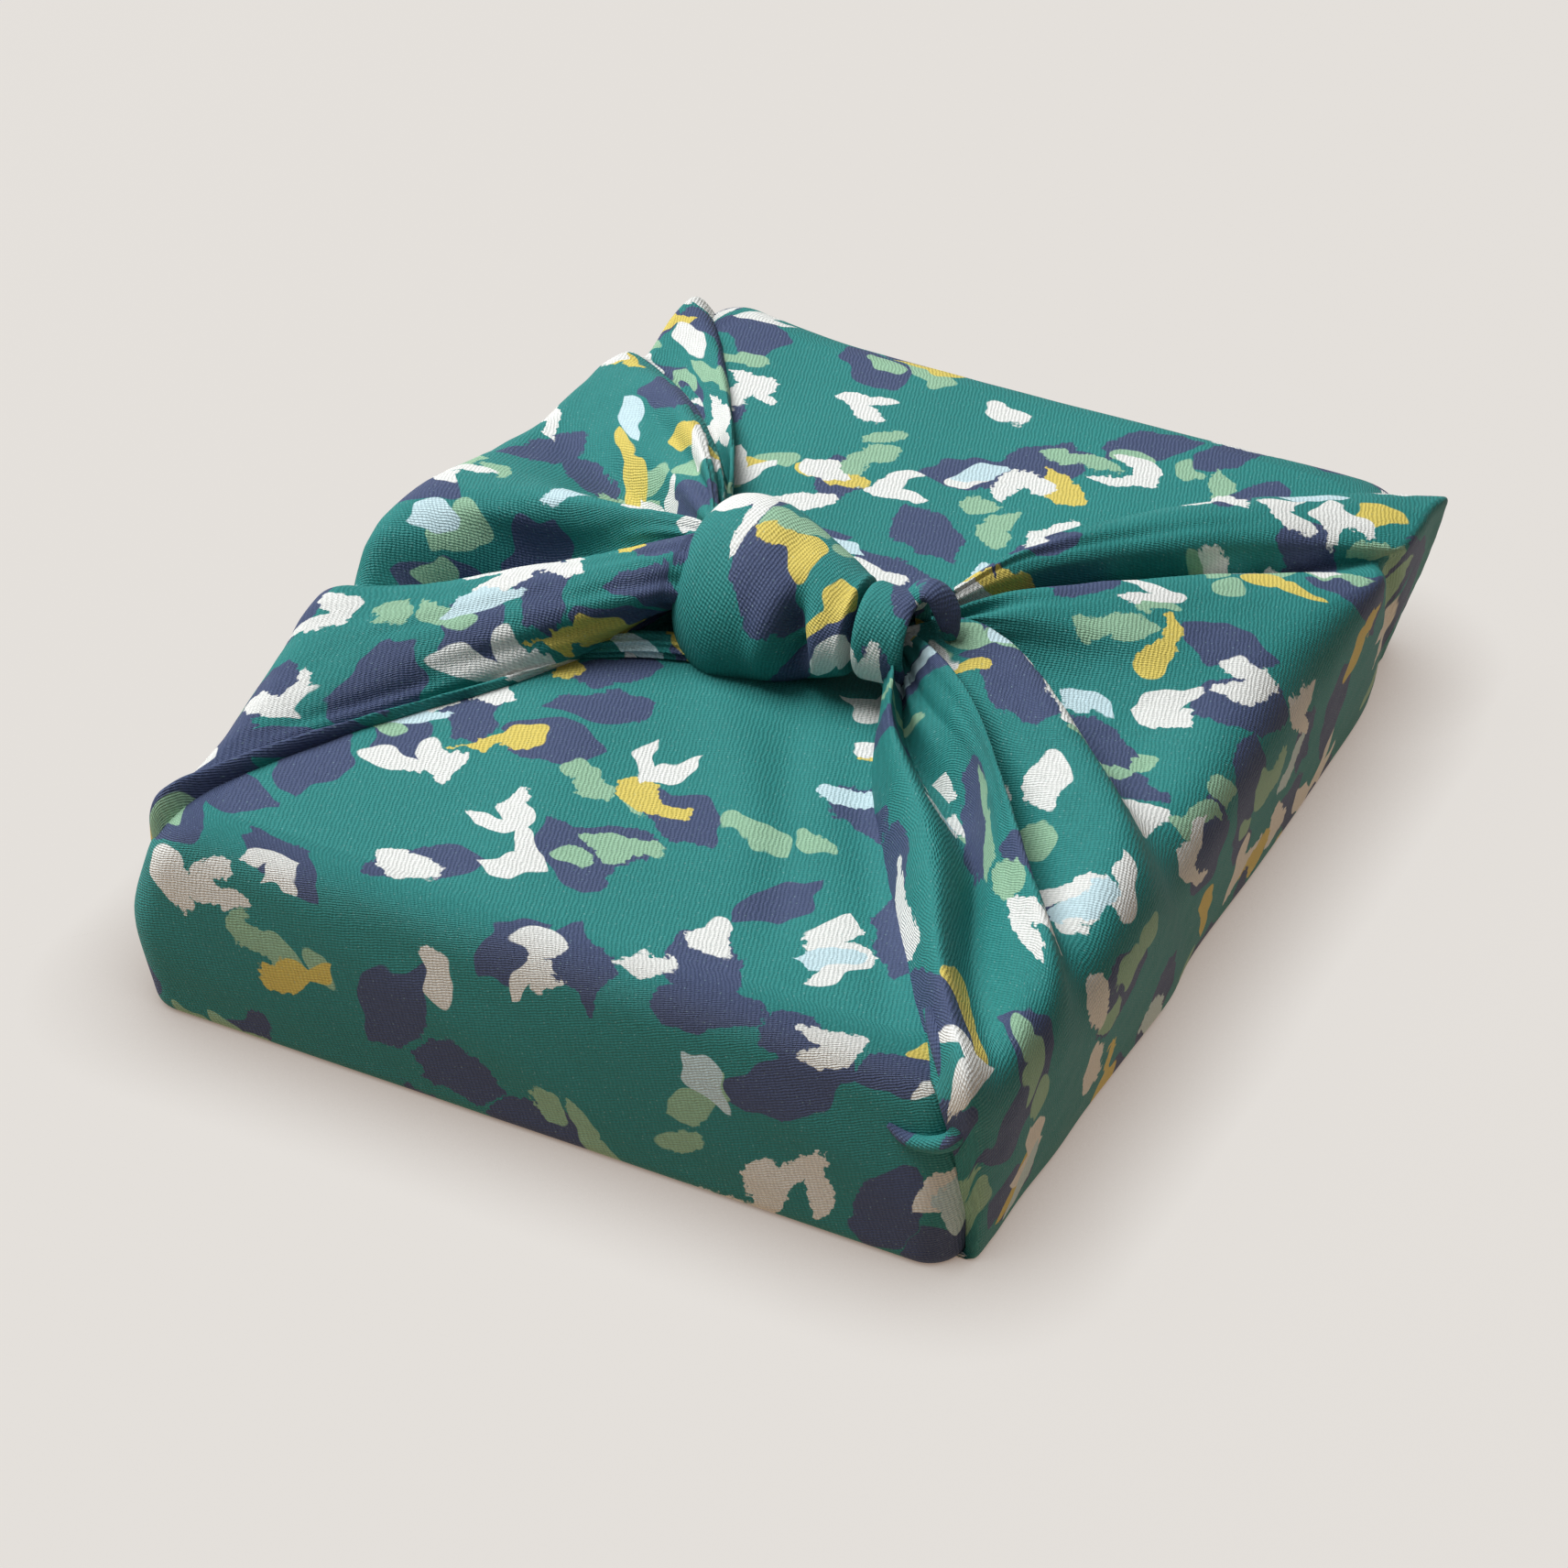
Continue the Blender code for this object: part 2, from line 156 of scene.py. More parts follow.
# Cross-sections of the knot along the tie: x, centre y and z, long and short half axes, lean
KNOT_SECTIONS = (
    (-39.5, -9, 81, 8, 6, 40), (-38, -9, 81, 17, 12, 40), (-33, -10, 81, 25, 18, 40),
    (-26, -11, 81, 28.5, 20.5, 42), (-16, -12, 81.5, 28.5, 21, 42), (-6, -13, 81.5, 26, 20, 42),
    (4, -15, 82, 22.5, 17.5, 42), (14, -17, 83, 18.5, 15.2, 42),
    (19.5, -18.5, 83.5, 16.2, 14.2, 42), (22, -19, 84, 14.8, 13.2, 42),
    (23.2, -19, 84, 11.5, 10.2, 42), (25.5, -19, 84, 5, 4, 42),
)
# Soft folds pressed into the knot: x and angle round it, width in x and in angle, and depth
# (negative for a raised roll); 90 degrees faces front and up, 180 front and down
KNOT_FOLDS = (
    (6.0, 118.0, 3.2, 26.0, 9.0), (8.5, 152.0, 3.2, 26.0, 9.5), (-2.5, 132.0, 4.4, 34.0, -2.4),
    (13.5, 140.0, 4.0, 36.0, -1.6), (-20.0, 172.0, 5.0, 34.0, -1.0), (-2.0, 60.0, 5.0, 30.0, 1.1),
    (-24.0, 96.0, 7.0, 26.0, 0.9), (18.0, 80.0, 3.0, 30.0, 0.9), (-31.0, 140.0, 3.0, 30.0, 0.8),
)
KNOT_OFFSET = (336, 74)         # where its piece of the print begins on the cloth

# The strap around the right end of the knot: x and the two half axes; it stands slanted in x
COLLAR_SECTIONS = (
    (26.2, 9.5, 8), (25.0, 11.6, 10.2), (24.6, 13.4, 11.8), (25.6, 14.7, 13), (30, 14.8, 13.2),
    (36, 14.4, 12.8), (39.5, 13.8, 12.2), (40.8, 12.4, 11), (40.2, 10.6, 9.4), (37.5, 8.5, 7.5),
)
COLLAR_CENTRE = (-19.0, 84.0)
COLLAR_LEAN = 42.0
COLLAR_SLANT = -1.0
COLLAR_OFFSET = (520, 90)

# The two tucked ends of the tie: centre line x, y, z and the half width and half thickness there
TAIL_TIP = (
    (35, -15, 91, 3, 1.6), (37, -13, 95.5, 4.6, 2.0), (40, -11.5, 98, 5.2, 2.4),
    (43.5, -11, 97, 5.4, 2.6), (46.5, -11.5, 93.5, 5, 2.4), (48.5, -12.5, 89, 3.6, 2),
    (49, -13, 84, 2, 1.4),
)
TUCKED_END = (
    (-80, -50, 63.5, 2, 1.5), (-68, -45, 64, 4, 2.2), (-56, -39, 65, 5, 2.6),
    (-44, -33, 65.5, 5, 3), (-30, -28, 65.5, 5, 3), (-16, -25, 65, 4, 3), (-8, -24, 64, 3, 3),
)
# The lip of the front flap, curled at the foot of the narrow roll near the front right corner
CORNER_CURL = (
    (110, -158, 68, 1.5, 1.2), (118, -167, 65.5, 3.0, 2.2), (125, -174, 60, 3.4, 2.6),
    (129.5, -178.5, 52, 3.2, 2.6), (128, -180, 46, 3.0, 2.6), (122, -180.5, 42.5, 2.6, 2.3),
    (115, -180, 41.5, 2.2, 1.8), (109, -178.5, 43, 1.2, 1.0),
)
# Each of these strips: its name, rows, place of its print on the cloth, and depth of its ribs
SMALL_STRIPS = (
    ("tail_tip", TAIL_TIP, (372, 128), 0.0), ("tucked_end", TUCKED_END, (300, 300), 0.16),
    ("corner_curl", CORNER_CURL, (410, 20), 0.0),
)
RIBS_ROUND = 9                  # ribs round a ribbed strip

# Long soft creases pressed into the bundles: row position across, start and end along the top
# run, width in rows and depth (negative for a raised ridge)
LEFT_CREASES = (
    (3.4, 0.10, 0.95, 0.16, 0.9), (4.6, 0.05, 0.80, 0.26, 3.4), (6.5, 0.15, 0.90, 0.20, 1.2),
    (7.5, 0.30, 1.00, 0.14, -0.7), (10.5, 0.08, 0.60, 0.12, 0.9), (11.4, 0.25, 0.95, 0.16, 0.8),
    (12.4, 0.05, 0.75, 0.14, 1.0), (13.0, 0.28, 1.0, 0.13, 1.8), (12.6, 0.50, 1.0, 0.11, 1.2),
    (14.5, 0.10, 1.0, 0.12, 0.8),
)
RIGHT_CREASES = (
    (2.6, 0.10, 0.70, 0.12, 0.8), (5.6, 0.05, 0.50, 0.14, 0.9), (6.5, 0.20, 0.85, 0.22, 1.0),
    (7.3, 0.05, 0.45, 0.14, 1.0), (9.6, 0.30, 0.95, 0.14, 0.7), (10.4, 0.10, 0.60, 0.12, 0.8),
    (12.5, 0.15, 0.80, 0.14, 0.6),
)
# Hollows and lips of the bundles: row position, place along the run (0 knot, 1 box edge,
# 2 table), width in rows and along the run, and the shift in x, y, z
LEFT_SHIFTS = (
    (14.4, 0.02, 0.8, 0.22, 2, 22, -3), (15.2, 0.02, 0.8, 0.22, 2, 16, 0),
    (13.2, 0.0, 0.55, 0.15, 0, 15, 1), (9.0, 0.34, 0.55, 0.26, 0, 5, -6),
    (9.2, 0.62, 0.45, 0.26, 0, 10, -6), (8.0, 0.52, 0.60, 0.24, 0, 8, -14),
    (6.0, 0.25, 0.6, 0.22, 0, 0, -11), (6.2, 0.52, 0.5, 0.24, 0, 0, -5),
    (8.6, 0.05, 0.5, 0.09, 0, 0, -7), (2.0, 0.30, 0.5, 0.25, 0, 0, -4),
    (3.3, 0.12, 0.35, 0.12, 0, 0, -4), (10.6, 0.55, 0.5, 0.3, 0, 3, 1),
)
RIGHT_SHIFTS = (
    (14.0, 0.45, 1.3, 0.28, 11, 7, 0.5), (11.0, 0.28, 0.5, 0.26, -2, -4, -5),
    (12.0, 0.30, 0.4, 0.26, 1, 3, 1), (14.0, 0.22, 0.5, 0.22, 0, 1, -5),
    (8.0, 0.30, 0.5, 0.20, 0, -4, -5), (9.0, 0.34, 0.4, 0.24, 1, 3, 1),
    (4.0, 0.16, 0.4, 0.16, 0, 2, -4), (7.0, 0.12, 0.4, 0.12, 0, 0, -4),
    (10.2, 0.12, 0.35, 0.10, 0, 0, -4), (12.9, 0.16, 0.3, 0.14, 0, 0, -4),
    (5.6, 0.12, 0.3, 0.12, 0, 0, -3), (15.0, 0.25, 0.5, 0.30, 0, -1, 2),
)
# Each bundle: name, fold lines, mouth, creases, hollows, pinch by the strap, seed of its waves
BUNDLES = (
    ("left_bundle", LEFT_FOLDS, MOUTH_LEFT, LEFT_CREASES, LEFT_SHIFTS, 0.0, 1.0),
    ("right_bundle", RIGHT_FOLDS, MOUTH_RIGHT, RIGHT_CREASES, RIGHT_SHIFTS, 0.55, 6.0),
)

# Soft ridges and troughs on the smooth top: start x, y, end x, y, width and height
TOP_CREASES = (
    (-21, -34, 43, -114, 9.0, 1.5), (10, -40, 60, -150, 7.0, -1.5),
    (-50, -60, -20, -150, 16.0, 1.1), (-52, 84, -33, 85, 1.0, 0.5),
    (-20, 20, -60, 120, 12.0, 0.6), (30, 30, 60, 130, 14.0, 0.7), (40, -60, 104, -166, 6.0, -1.6),
)
CREASE_TIP, CREASE_SOFTNESS = 0.08, 22  # where along a ridge it rises, and how fast
TOP_WAVES = ((0.35, 90.0, 2.0), (0.10, 24.0, 5.0))  # height, length and seed of its unevenness
TOP_FROM, TOP_FADE = 50.0, 10.0         # from which height up the top's creases show
SIDE_WAVE = (0.5, 60.0, 4.0)            # the same unevenness on the sides
SIDE_UP_TO, SIDE_FADE = 58.0, 12.0      # and the height below which it shows

# The stage, in metres and degrees
FLOOR_HALF = 12.0
SKY_SIDE = (-0.46, -0.20, 0.86)         # towards the brightest part of the sky
HORIZON = 0.12                          # half height of the soft band between sky and bounce
WINDOW_PLACE = (-1.75, 0.2, 2.75)
WINDOW_SIDE = 2.2
CAMERA_PLACE = (0.4559, -0.9568, 0.7512)
CAMERA_TURN, CAMERA_TILT, CAMERA_ROLL = 26.18, 35.13, 0.8
FILM_WIDTH = 36.0                       # in millimetres, as the lens is


def smooth_curve(points, steps):
    """Points on a soft curve through the given rows, with `steps` pieces in each gap."""
    pts = np.array(points, dtype=float)
    ends = np.vstack([2 * pts[0] - pts[1], pts, 2 * pts[-1] - pts[-2]])
    out = []
    for i in range(1, len(ends) - 2):
        p = ends[i - 1:i + 3]
        t = [0.0]
        for a, b in zip(p[:-1], p[1:]):
            t.append(t[-1] + max(np.linalg.norm(b[:3] - a[:3]), 1e-6) ** 0.5)
        for u in np.linspace(t[1], t[2], steps, endpoint=False):
            a1, a2, a3 = (((t[k + 1] - u) * p[k] + (u - t[k]) * p[k + 1]) / (t[k + 1] - t[k])
                          for k in range(3))
            b1 = ((t[2] - u) * a1 + (u - t[0]) * a2) / (t[2] - t[0])
            b2 = ((t[3] - u) * a2 + (u - t[1]) * a3) / (t[3] - t[1])
            out.append(((t[2] - u) * b1 + (u - t[1]) * b2) / (t[2] - t[1]))
    out.append(pts[-1])
    return np.array(out)


def fold_line(row, mouth_x):
    """One fold line, from inside the knot over the box edge, down the side and a little under."""
    f = dict(zip(FOLD_COLUMNS, row))
    side = math.copysign(1.0, mouth_x)
    mouth = np.array([mouth_x, f["mouth_y"], f["mouth_z"]], dtype=float)
    edge = np.array([f["edge_x"], f["edge_y"], f["edge_z"]], dtype=float)
    foot = np.array([f["foot_x"], f["foot_y"], FOOT_HEIGHT])
    power = math.log(0.5) / math.log(f["bow_at"])

    def over_top(s):
        swell = 4 * s ** power * (1 - s ** power)
        bent = np.array([0, f["bow"] * swell, f["lift"] * 4 * s * (1 - s)])
        return mouth + (edge - mouth) * s + bent

    def down_side(s):
        return edge + (foot - edge) * s + np.array([side * SIDE_BELLY * 4 * s * (1 - s), 0, 0])

    leave = 1 - f["bend"] / np.linalg.norm(edge - mouth)
    land = f["bend"] / np.linalg.norm(foot - edge)
    before, after = over_top(leave), down_side(land)
    grip = np.array([-side * GRIP_DEPTH, *((np.array(GRIP_HEART) - mouth[1:]) * GRIP_DRAW)])
    line = [mouth + grip * k for k in np.linspace(1, 0, GRIP_STEPS, endpoint=False)]
    line += [over_top(s) for s in np.linspace(0, leave, TOP_STEPS + 1)]
    for s in np.linspace(0, 1, BEND_STEPS + 1)[1:-1]:
        line.append((1 - s) ** 2 * before + 2 * s * (1 - s) * edge + s ** 2 * after)
    line += [down_side(s) for s in np.linspace(land, 1, SIDE_STEPS + 1)]
    line += [np.array([foot[0] - side * reach, foot[1], z]) for reach, z in TUCK_UNDER]
    return np.array(line)


def grid_normals(grid):
    """Unit normals of a grid of points, row by column."""
    across = np.gradient(grid, axis=0)
    along = np.gradient(grid, axis=1)
    normal = np.cross(across, along)
    length = np.linalg.norm(normal, axis=2, keepdims=True)
    return normal / np.maximum(length, 1e-9)


def wave_noise(x, y, size, seed):
    """A smooth, repeatable unevenness between about -1 and 1, from five crossed waves."""
    total = np.zeros_like(x)
    for k in range(5):
        turn = seed * 1.7 + k * 2.4
        pitch = size * (0.7 + 0.23 * k)
        across = x * math.cos(turn) + y * math.sin(turn)
        total += np.sin(2 * math.pi * across / pitch + seed + k * k)
    return total / 3.2


def bundle_grid(folds, mouth_x, creases, shifts, pinch, seed):
    """The gathered cloth of one side: a fine grid over its fold lines, with its small creases."""
    lines = np.array([fold_line(row, mouth_x) for row in folds.values()])
    grid = np.stack([smooth_curve(lines[:, k], ACROSS_STEPS) for k in range(lines.shape[1])],
                    axis=1)
    rows = np.linspace(0, len(lines) - 1, grid.shape[0])[:, None]
    column = np.arange(grid.shape[1])
    s = np.clip((column - GRIP_STEPS) / TOP_STEPS, 0, 1)[None, :]
    marks = np.cumsum((GRIP_STEPS, TOP_STEPS, BEND_STEPS, SIDE_STEPS))
    run = np.interp(column, marks, RUN_MARKS)[None, :]
    if pinch:
        squeeze = 1 - pinch * np.exp(-(run / PINCH_REACH) ** 2)
        for axis, centre in enumerate(COLLAR_CENTRE, start=1):
            grid[..., axis] = centre + (grid[..., axis] - centre) * squeeze
    for at, place, width, length, *shift in shifts:
        weight = np.exp(-((rows - at) / width) ** 2 - ((run - place) / length) ** 2)
        grid = grid + weight[..., None] * np.array(shift, dtype=float)

    x, y, z = grid[..., 0], grid[..., 1], grid[..., 2]
    push = np.zeros(grid.shape[:2])
    for at, begin, end, width, depth in creases:
        reach = (np.clip((s - begin) / CREASE_BEGIN, 0, 1)
                 * np.clip((end - s) / CREASE_END, 0, 1))
        push -= depth * reach * np.exp(-((rows - at) / width) ** 2)
    near = np.exp(-((x - mouth_x) / GATHER_REACH) ** 2)
    push += sum(rise * near * np.sin(rows * pitch + seed * k) for rise, pitch, k in GATHERS)
    push += BROAD_WAVE[0] * wave_noise(x, y, BROAD_WAVE[1], seed) * (1 - near)
    push += FINE_WAVE[0] * wave_noise(x + z, y, FINE_WAVE[1], seed + 3)
    fade = np.clip((z - CALM_HEIGHT) / CALM_FADE, 0, 1)
    normal = grid_normals(grid) * math.copysign(1.0, mouth_x)
    normal *= np.sign(np.sum(normal[..., 2]))
    return grid + normal * (push * fade)[..., None]


def bundle_uv(grid):
    """Cloth coordinates of a bundle: its length along the tie and round the folds, in mm."""
    step = np.diff(grid, axis=1)
    along = np.concatenate([np.zeros((grid.shape[0], 1)),
                            np.cumsum(np.hypot(step[..., 0], step[..., 2]), axis=1)], axis=1)
    step = np.linalg.norm(np.diff(grid, axis=0), axis=2)
    across = np.concatenate([np.zeros((1, grid.shape[1])), np.cumsum(step, axis=0)])
    middle = grid.shape[0] // 2
    across = grid[middle, :, 1] - (across - across[middle])
    side = math.copysign(1.0, grid[0, -1, 0])
    return np.stack([grid[:1, :1, 0] + side * along, across], axis=2)


def make_sheet(name, grid, uv, closed=False):
    """A thin sheet of cloth through a grid of points, with its cloth coordinates as UVs."""
    cloth = bpy.context.scene.wrap_cloth
    rows, cols = grid.shape[:2]
    points = (grid + np.array(CENTRE_SHIFT)) * MM
    faces = []
    for i in range(rows if closed else rows - 1):
        n = (i + 1) % rows
        faces += [(i * cols + j, n * cols + j, n * cols + j + 1, i * cols + j + 1)
                  for j in range(cols - 1)]
    mesh = bpy.data.meshes.new(name)
    mesh.from_pydata(points.reshape(-1, 3).tolist(), [], faces)
    values = uv.reshape(-1, 2)[np.array(faces)]
    if closed:
        # The last strip of faces closes the ring, so its far side carries the print on
        wrap = (rows - 1) * (cols - 1)
        extra = uv[-1] + (uv[-1] - uv[-2])
        values[wrap:, 1], values[wrap:, 2] = extra[:-1], extra[1:]
    mesh.uv_layers.new(name=CLOTH_UV).data.foreach_set("uv", (values * MM).ravel())
    mesh.validate()
    mesh.shade_smooth()
    sheet = bpy.data.objects.new(name, mesh)
    bpy.context.scene.collection.objects.link(sheet)
    turn_outwards(sheet)
    skin = sheet.modifiers.new("cloth thickness", "SOLIDIFY")
    skin.thickness = cloth.thickness
    skin.offset = -1.0
    mesh.materials.append(printed_cotton(cloth))
    return sheet


def turn_outwards(sheet):
    """Flips the faces if most of them look towards the heart of the wrap or of a small piece."""
    mesh = sheet.data
    count = len(mesh.polygons)
    centre, normal = np.empty(count * 3), np.empty(count * 3)
    mesh.polygons.foreach_get("center", centre)
    mesh.polygons.foreach_get("normal", normal)
    centre, normal = centre.reshape(-1, 3), normal.reshape(-1, 3)
    large = sheet.name == FLAPS or sheet.name.endswith("bundle")
    heart = np.array(HEART) if large else centre.mean(axis=0)
    facing = ((centre - heart) * normal).sum(axis=1)
    if np.sum(facing > 0) < count / 2:
        mesh.flip_normals()


def declare(piece):
    """Every piece of the cloth rides on the one body and stands for the one solid."""
    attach(piece, "root")
    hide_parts(NODE)


def add_strip(name, grid, offset):
    """A closed strip that lies on the flaps; its flat width follows from its area and length."""
    piece = make_sheet(name, grid, ring_uv(grid, offset), closed=True)
    declare(piece)


class Nodes:
    """Short helpers to lay out the nodes of a material or of the surroundings."""
    # Sockets of the Mix node that are for colours
    FIRST, SECOND, MIXED = 6, 7, 2

    def __init__(self, material):
        self.tree = material.node_tree

    def add(self, kind, **settings):
        node = self.tree.nodes.new(kind)
        for key, value in settings.items():
            setattr(node, key, value)
        return node

    def link(self, a, b):
        self.tree.links.new(a, b)

    def put(self, socket, value):
        if isinstance(value, bpy.types.NodeSocket):
            self.link(value, socket)
        else:
            socket.default_value = value

    def math(self, operation, a, b=0.0, c=0.0):
        node = self.add("ShaderNodeMath", operation=operation)
        for socket, value in zip(node.inputs, (a, b, c)):
            self.put(socket, value)
        return node.outputs[0]

    def vector(self, operation, a, b=(0, 0, 0), scale=1.0):
        node = self.add("ShaderNodeVectorMath", operation=operation)
        self.put(node.inputs[0], a)
        if operation == "SCALE":
            self.put(node.inputs["Scale"], scale)
        else:
            self.put(node.inputs[1], b)
        return node.outputs[1 if operation in ("LENGTH", "DOT_PRODUCT") else 0]

    def split(self, vector):
        node = self.add("ShaderNodeSeparateXYZ")
        self.link(vector, node.inputs[0])
        return node.outputs

    def noise(self, vector, scale, detail=2.0, colour=False):
        node = self.add("ShaderNodeTexNoise", noise_dimensions="2D")
        self.link(vector, node.inputs["Vector"])
        node.inputs["Scale"].default_value = scale
        node.inputs["Detail"].default_value = detail
        return node.outputs["Color" if colour else "Fac"]

    def mix(self, factor, a, b, blend="MIX"):
        node = self.add("ShaderNodeMix", data_type="RGBA", blend_type=blend)
        self.put(node.inputs[0], factor)
        self.put(node.inputs[self.FIRST], a)
        self.put(node.inputs[self.SECOND], b)
        return node.outputs[self.MIXED]

    def fall(self, value, edge, width):
        """1 below the edge and 0 above it, with a narrow soft step."""
        node = self.add("ShaderNodeMapRange", interpolation_type="SMOOTHSTEP")
        self.put(node.inputs["Value"], value)
        node.inputs["From Min"].default_value = edge - width
        node.inputs["From Max"].default_value = edge + width
        node.inputs["To Min"].default_value = 1.0
        node.inputs["To Max"].default_value = 0.0
        return node.outputs[0]


INK_EDGE = 0.22         # soft edge of the printed ink, in millimetres
OUT_OF_REACH = 60.0     # added to a motif's distance, in millimetres, where it isn't printed
RAGGED_EDGE = 3.4       # how far the edges wander where the ink was dry
STEADY_EDGE = 0.25      # and where it wasn't
WOBBLE = 11.0           # how far the whole motifs are drawn out of shape
WORN_GROUND = 0.86      # brightness of the ground where it is darkest
RIB_ANGLE, WEFT_ANGLE = 108.0, 18.0
SPECK_COLOUR = (0.40, 0.60, 0.57, 1)


def scattered(n, place, cell, offset, spread=0.8):
    """Places with a random turn each: local x and y, and two random numbers for each place."""
    moved = n.vector("ADD", place, (offset[0], offset[1], 0))
    cells = n.add("ShaderNodeTexVoronoi", voronoi_dimensions="2D")
    n.link(moved, cells.inputs["Vector"])
    cells.inputs["Scale"].default_value = 1.0 / cell
    cells.inputs["Randomness"].default_value = spread
    chance = n.split(cells.outputs["Color"])
    local = n.vector("SUBTRACT", moved, cells.outputs["Position"])
    turned = n.add("ShaderNodeVectorRotate", rotation_type="Z_AXIS")
    n.link(local, turned.inputs["Vector"])
    n.link(n.math("MULTIPLY", chance[0], 2 * math.pi), turned.inputs["Angle"])
    xyz = n.split(turned.outputs[0])
    return xyz[0], xyz[1], chance[1], chance[2]


def leaf(n, x, y, length, width):
    """Distance outside a pointed leaf, lying along x; below 0 is inside."""
    half, thick = length / 2, width / 2
    radius = (half * half + thick * thick) / (2 * thick)
    drop = radius - thick
    away = n.math("ADD", n.math("ABSOLUTE", y), drop)
    reach = n.math("SQRT", n.math("ADD", n.math("MULTIPLY", x, x), n.math("MULTIPLY", away, away)))
    return n.math("SUBTRACT", reach, radius)


def pebble(n, x, y, length, width):
    """Distance outside a lopsided oval."""
    px = n.math("DIVIDE", x, length / 2)
    swell = n.math("MULTIPLY_ADD", px, 0.22, 1.0)
    py = n.math("DIVIDE", y, n.math("MULTIPLY", swell, width / 2))
    reach = n.math("SQRT", n.math("ADD", n.math("MULTIPLY", px, px), n.math("MULTIPLY", py, py)))
    return n.math("MULTIPLY", n.math("SUBTRACT", reach, 1.0), width / 2)


def gone_where(n, shape, a, b):
    """The motif's distance, out of reach at the places where a is greater than b."""
    return n.math("ADD", shape, n.math("MULTIPLY", n.math("GREATER_THAN", a, b), OUT_OF_REACH))


def inked(n, colour, shape, ink):
    """The colour so far, with a motif printed over it."""
    return n.mix(n.fall(shape, 0.0, INK_EDGE), colour, (*ink, 1))


def printed_motifs(n, place, colour, colours):
    """The scattered print, one layer of motifs over another; sizes in millimetres."""
    # Broad navy leaves and pebbles
    for offset, cell, share in (((13, 57), 41.0, 0.86), ((171, 12), 50.0, 0.80)):
        x, y, pick, odds = scattered(n, place, cell, offset)
        broad = n.math("ADD", leaf(n, x, y, length=31.0, width=17.0), n.fall(pick, 0.5, 0.01))
        stone = gone_where(n, pebble(n, x, y, length=24.0, width=17.0), 0.5, pick)
        shape = gone_where(n, n.math("MINIMUM", broad, stone), odds, share)
        colour = inked(n, colour, shape, colours.navy)

    # Sage sprigs: a leaf between two small pebbles
    x, y, _, odds = scattered(n, place, 50.0, (93, 141))
    sprig = leaf(n, x, n.math("SUBTRACT", y, 1.5), length=17.0, width=8.0)
    for dx, dy, length in ((-8.5, -5.0, 11.0), (8.0, 6.5, 12.0)):
        small = pebble(n, n.math("ADD", x, dx), n.math("ADD", y, dy), length, width=7.5)
        sprig = n.math("MINIMUM", sprig, small)
    colour = inked(n, colour, gone_where(n, sprig, odds, 0.85), colours.sage)

    # Yellow buds, each with a narrow leaf
    x, y, _, odds = scattered(n, place, 54.0, (31, 208))
    bud = n.math("MINIMUM", pebble(n, x, y, length=14.0, width=11.0),
                 leaf(n, n.math("ADD", x, 9.0), y, length=14.0, width=5.5))
    colour = inked(n, colour, gone_where(n, bud, odds, 0.72), colours.yellow)

    # Cream twin leaves on one stem, and single petals
    for offset, cell, share in (((47, 83), 38.0, 0.72), ((222, 131), 46.0, 0.72)):
        x, y, pick, odds = scattered(n, place, cell, offset)
        up = n.math("ADD", n.math("ABSOLUTE", y), n.math("MULTIPLY", x, -0.42))
        twin = leaf(n, n.math("SUBTRACT", x, 4.0), n.math("SUBTRACT", up, 1.4),
                    length=19.0, width=7.6)
        petal = pebble(n, x, y, length=18.0, width=9.5)
        shape = n.math("MINIMUM", gone_where(n, twin, pick, 0.6), gone_where(n, petal, 0.6, pick))
        colour = inked(n, colour, gone_where(n, shape, odds, share), colours.cream)

    # Narrow pale blue leaves
    x, y, _, odds = scattered(n, place, 58.0, (155, 260))
    blade = gone_where(n, leaf(n, x, y, length=19.0, width=8.5), odds, 0.7)
    return inked(n, colour, blade, colours.pale_blue)


def twill(n, plain, colours):
    """The height of the twill ribs with their weft, and the uneven grain of the yarn."""
    ribs = []
    for angle, pitch in ((RIB_ANGLE, colours.rib_pitch), (WEFT_ANGLE, colours.weft_pitch)):
        turn = math.radians(angle)
        across = (math.cos(turn) / pitch, math.sin(turn) / pitch, 0)
        along = n.vector("DOT_PRODUCT", plain, across)
        uneven = n.math("MULTIPLY_ADD", n.noise(plain, 0.3, 2.0), 0.9, along)
        ribs.append(n.math("SINE", n.math("MULTIPLY", uneven, 2 * math.pi)))
    weave = n.math("ADD", n.math("MULTIPLY", ribs[0], 0.55), n.math("MULTIPLY", ribs[1], 0.45))
    fine = n.math("MULTIPLY", n.noise(plain, 2.4, 2.0), 0.6)
    return weave, n.math("MULTIPLY_ADD", n.noise(plain, 0.9, 2.0), 0.45, fine)


def speckled(n, plain, colour):
    """The colour so far, with tiny pale specks."""
    specks = n.add("ShaderNodeTexVoronoi", voronoi_dimensions="2D")
    n.link(plain, specks.inputs["Vector"])
    specks.inputs["Scale"].default_value = 0.5
    lucky = n.math("POWER", n.split(specks.outputs["Color"])[0], 4.0)
    speck = n.math("MULTIPLY", n.fall(specks.outputs["Distance"], 0.10, 0.08), lucky)
    return n.mix(n.math("MULTIPLY", speck, 0.38), colour, SPECK_COLOUR)


